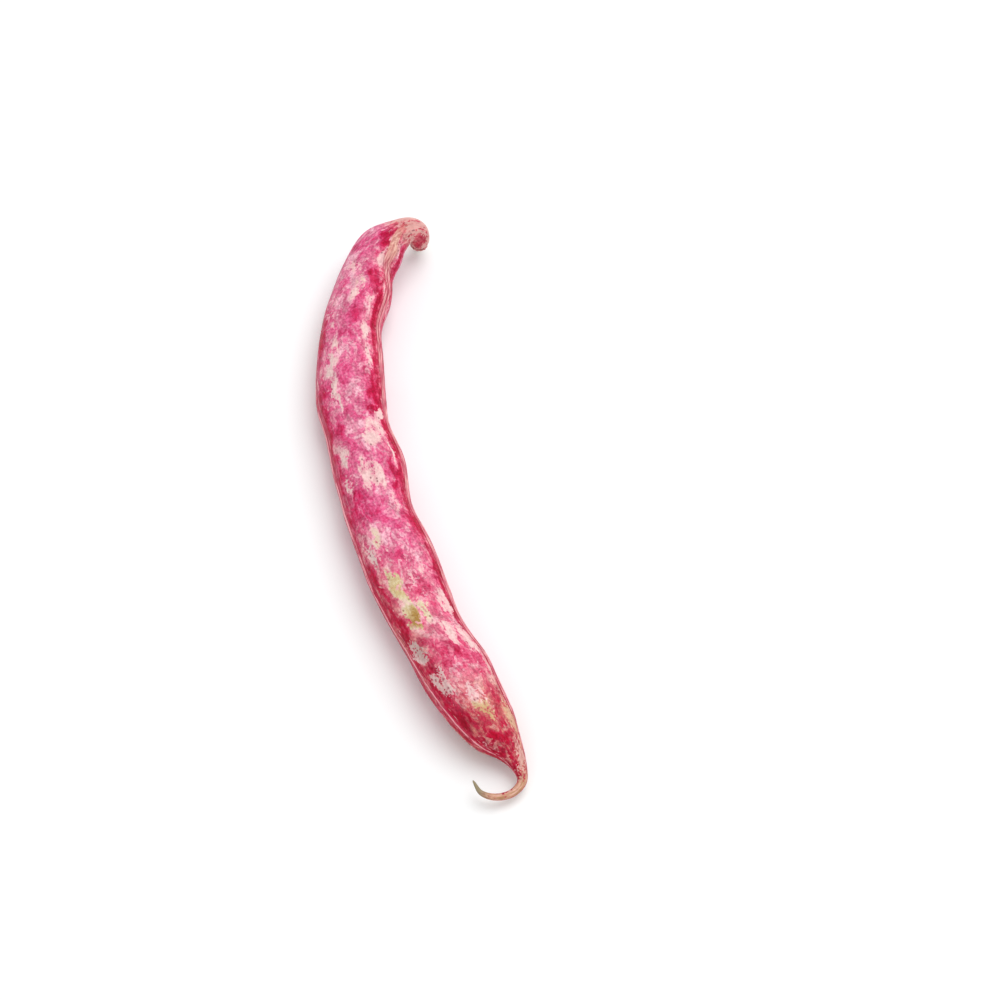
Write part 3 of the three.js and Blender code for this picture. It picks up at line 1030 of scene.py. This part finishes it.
# Heights outwards from the pod's first station, and radii, from the base to the inner floor.
CALYX_RIM_HEIGHT = 0.45
CALYX_BASE = (1.75, 1.15)
CALYX_OUTSIDE = [(1.4, 1.65), (0.8, 2.1), (CALYX_RIM_HEIGHT, 2.35)]
CALYX_INSIDE = [(CALYX_RIM_HEIGHT, 1.72), (0.77, 1.66), (0.95, 1.1)]
CALYX_POINTS = 60
CALYX_LOBES = 5
CALYX_LOBE_LENGTH = 1.0
CALYX_LOBE_SPREAD = 0.2
CALYX_LOBE_SHARPNESS = 1.5
CALYX_VEINS_PER_LOBE = 3
CALYX_VEIN_HEIGHT = 0.05
CALYX_CRUMPLE_HEIGHT = 0.08
SAME_HEIGHT = 0.01

height_now, radius_now = CALYX_BASE
lobed_calyx = start_section("lobed_calyx", CALYX_POINTS, radius_now, height_now)
bpy.ops.object.mode_set(mode="EDIT")
bpy.ops.mesh.select_all(action="SELECT")
for height, radius in CALYX_OUTSIDE + CALYX_INSIDE:
    extrude_ring(height, height - height_now, radius / radius_now, radius / radius_now)
    height_now, radius_now = height, radius
close_ends(lobed_calyx, CALYX_POINTS, (-height_now, 0), (-CALYX_BASE[0], 0))
for vertex in lobed_calyx.data.vertices:
    if abs(vertex.co.y - CALYX_RIM_HEIGHT * MM) < SAME_HEIGHT * MM:
        turn = math.atan2(vertex.co.z, vertex.co.x)
        lobe = (0.5 + 0.5 * math.cos(CALYX_LOBES * turn)) ** CALYX_LOBE_SHARPNESS
        radius = math.hypot(vertex.co.x, vertex.co.z)
        widened = 1 + CALYX_LOBE_SPREAD * lobe * MM / radius
        vertex.co.x *= widened
        vertex.co.z *= widened
        vertex.co.y -= CALYX_LOBE_LENGTH * lobe * MM
round_off(lobed_calyx)

straight = read_points(lobed_calyx.data, "co") / MM
outward = read_points(lobed_calyx.data, "normal")
calyx_turn = np.arctan2(straight[:, 2], straight[:, 0])
veins = CALYX_VEIN_HEIGHT * np.cos(CALYX_VEINS_PER_LOBE * CALYX_LOBES * calyx_turn)
crumples = CALYX_CRUMPLE_HEIGHT * grain(straight * (1.6, 0.5, 1.6), 23)
carved = straight + outward * (veins + crumples)[:, None]
write_points(lobed_calyx.data, bent(carved, pod_line))
keep_grown_place(lobed_calyx.data, straight)

dried_calyx, calyx_shader = finish("dried_calyx")
calyx_spot = node(dried_calyx, "Attribute", attribute_name="grown_place").outputs["Vector"]
calyx_streaks = mottle(dried_calyx, calyx_spot, size=0.5, stretch=4, detail=3, roughness=0.6)
# Partly painted light: the calyx's colours are paler than its dried tone, to lighten its wall in the shade
# under the nub.
calyx_tone_and_painted_light = ramp(
    dried_calyx,
    calyx_streaks,
    (0.30, "#BE6E78"),
    (0.45, "#CC868C"),
    (0.58, "#D69C98"),
    (0.72, "#DAB29C"),
)
calyx_bump = node(dried_calyx, "Bump", {"Height": calyx_streaks, "Distance": 0.12 * MM, "Strength": 0.7})
calyx_surface = {
    "Base Color": calyx_tone_and_painted_light,
    "Normal": calyx_bump.outputs["Normal"],
    "Roughness": 0.75,
    "Specular IOR Level": 0.25,
}
plug(dried_calyx, calyx_shader, calyx_surface)
lobed_calyx.data.materials.append(dried_calyx)
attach(lobed_calyx, "root")
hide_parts("calyx")


# The stalk is the short green end of the stem that the pod hung by, ribbed along its length
# and snapped off at a swollen knuckle. It is modelled straight from the calyx to the break,
# and bent on to its own line.

# Middle line from the calyx to the break: x, y, z and radius.
STALK = [
    (-1.1, 71.5, 3.05, 1.15),
    (-1.15, 72.3, 2.35, 1.0),
    (-1.35, 73.6, 2.05, 0.95),
    (-1.7, 75.3, 2.15, 0.98),
    (-2.2, 77.35, 2.35, 1.25),
]
STALK_SAMPLES_PER_ROW = 20
STALK_DIRECTION_REACH = 0.5
STALK_POINTS = 32
STALK_RING_SPACING = 0.35
STALK_RIBS = 6
STALK_RIB_HEIGHT = 0.06
STALK_UNEVENNESS = 0.04

# The break is cut into narrow rings, so that torn fibres can stand up on it. It fades in over
# these two depths below the end.
BREAK_RINGS = 3
BREAK_RING_BREADTH = 0.28
BREAK_DEPTHS = (0.35, 0.05)
BREAK_ROUGHNESS = 0.25

stalk_travel, stalk_values, *stalk_directions = line_frames(
    STALK, STALK_SAMPLES_PER_ROW, STALK_DIRECTION_REACH, 0
)
stalk_line = (stalk_travel, stalk_values[:, :3], *stalk_directions)
STALK_LENGTH = stalk_travel[-1]
radius_now = stalk_values[0, 3]
place_now = 0
ribbed_stalk = start_section("ribbed_stalk", STALK_POINTS, radius_now, place_now)
bpy.ops.object.mode_set(mode="EDIT")
bpy.ops.mesh.select_all(action="SELECT")
for place in np.linspace(0, STALK_LENGTH, round(STALK_LENGTH / STALK_RING_SPACING) + 1)[1:]:
    radius = np.interp(place, stalk_travel, stalk_values[:, 3])
    extrude_ring(-place, place_now - place, radius / radius_now, radius / radius_now)
    radius_now, place_now = radius, place
for _ in range(BREAK_RINGS):
    bpy.ops.mesh.inset(thickness=BREAK_RING_BREADTH * MM)
close_ends(ribbed_stalk, STALK_POINTS, (-STALK_LENGTH, 0), (0, 0))
round_off(ribbed_stalk)

straight = read_points(ribbed_stalk.data, "co") / MM
outward = read_points(ribbed_stalk.data, "normal")
stalk_turn = np.arctan2(straight[:, 2], straight[:, 0])
broken = step_up(-straight[:, 1], *(STALK_LENGTH - depth for depth in BREAK_DEPTHS))
ribs = STALK_RIB_HEIGHT * np.cos(STALK_RIBS * stalk_turn)
ribs += STALK_UNEVENNESS * grain(straight * (2.0, 0.5, 2.0), 29)
fibres = BREAK_ROUGHNESS * (grain(straight * (3.2, 0.2, 3.2), 37) - 0.5)
carved = straight + outward * (ribs * (1 - broken))[:, None]
carved[:, 1] -= broken * fibres
write_points(ribbed_stalk.data, bent(carved, stalk_line))
keep_grown_place(ribbed_stalk.data, straight)
keep_mark(ribbed_stalk.data, "broken", broken)

green_stalk, stalk_shader = finish("green_stalk")
stalk_spot = node(green_stalk, "Attribute", attribute_name="grown_place").outputs["Vector"]
stalk_streaks = mottle(green_stalk, stalk_spot, size=0.45, stretch=6, detail=3, roughness=0.6)
stalk_colour = ramp(
    green_stalk,
    stalk_streaks,
    (0.30, "#5E6A34"),
    (0.46, "#7E8446"),
    (0.60, "#A0A060"),
    (0.74, "#B88A6C"),
)
stalk_broken = node(green_stalk, "Attribute", attribute_name="broken").outputs["Fac"]
stalk_colour = blended(green_stalk, stalk_broken, stalk_colour, paint("#B9A77C"))
stalk_bump = node(green_stalk, "Bump", {"Height": stalk_streaks, "Distance": 0.1 * MM, "Strength": 0.6})
stalk_surface = {
    "Base Color": stalk_colour,
    "Normal": stalk_bump.outputs["Normal"],
    "Roughness": 0.6,
    "Specular IOR Level": 0.3,
}
plug(green_stalk, stalk_shader, stalk_surface)
ribbed_stalk.data.materials.append(green_stalk)
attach(ribbed_stalk, "root")
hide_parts("stalk")
